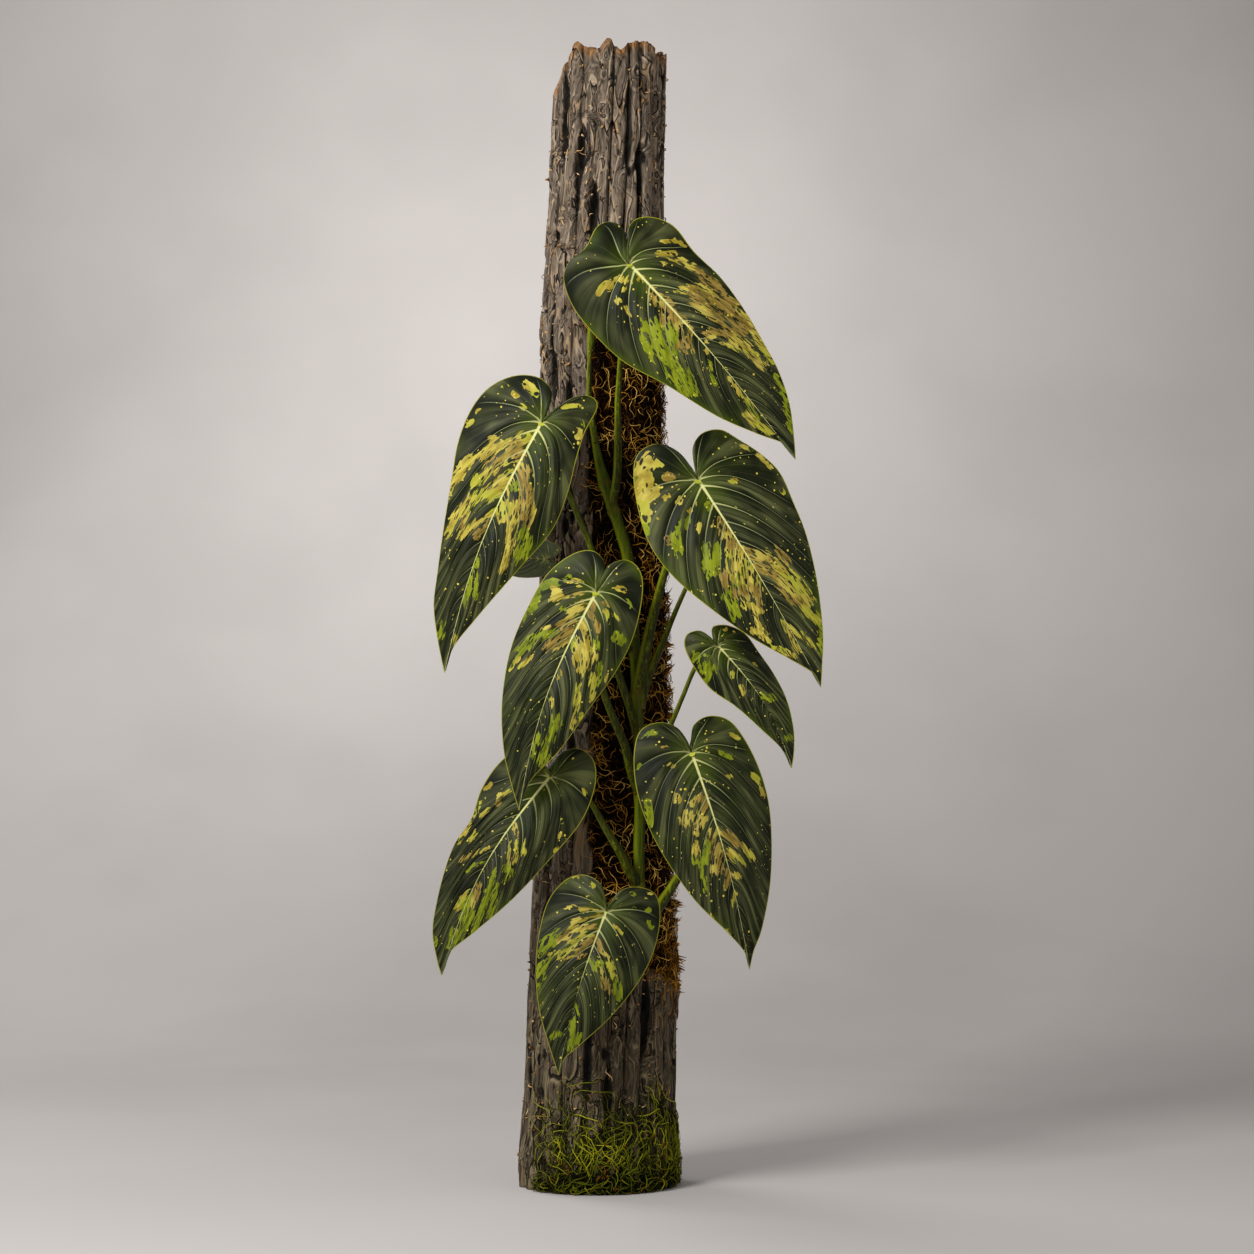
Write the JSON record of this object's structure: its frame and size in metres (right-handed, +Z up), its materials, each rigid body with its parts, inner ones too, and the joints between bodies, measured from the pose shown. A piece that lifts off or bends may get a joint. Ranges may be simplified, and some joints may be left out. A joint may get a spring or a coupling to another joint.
{
  "type": "variegated climbing philodendron on a bark totem",
  "caption": "Variegated philodendron with long heart-shaped leaves, climbing a free-standing ridged bark totem with a coir strip and mossy foot.",
  "frame": {"origin": "centre of the totem's foot, on its flat underside", "axes": "+Z up along the totem, -Y towards the viewer and the leaves' upper faces, +X to the viewer's right"},
  "size_m": [0.2951, 0.1834, 0.888],
  "materials": {
    "bark": "weathered, rough, dry",
    "coir": "matted brown fibre",
    "moss": "stringy, matt",
    "stem": "smooth living skin, satin",
    "petiole": "smooth living skin, satin",
    "blade": "velvety, with gold and lime variegation"
  },
  "bodies": {
    "root": {"bark_totem": "bark", "coir_fibre": "coir", "moss_skirt": "moss", "stem": "stem", "new_leaf_spear": "petiole", "petiole_bottom": "petiole", "petiole_lower_left": "petiole", "petiole_lower_right": "petiole", "petiole_middle": "petiole", "petiole_small_right": "petiole", "petiole_small_left": "petiole", "petiole_right": "petiole", "petiole_small_back": "petiole", "petiole_left": "petiole", "petiole_top": "petiole", "leaf_bottom": "blade", "leaf_lower_left": "blade", "leaf_lower_right": "blade", "leaf_middle": "blade", "leaf_small_right": "blade", "leaf_small_left": "blade", "leaf_right": "blade", "leaf_small_back": "blade", "leaf_left": "blade", "leaf_top": "blade"}
  },
  "joints": []
}
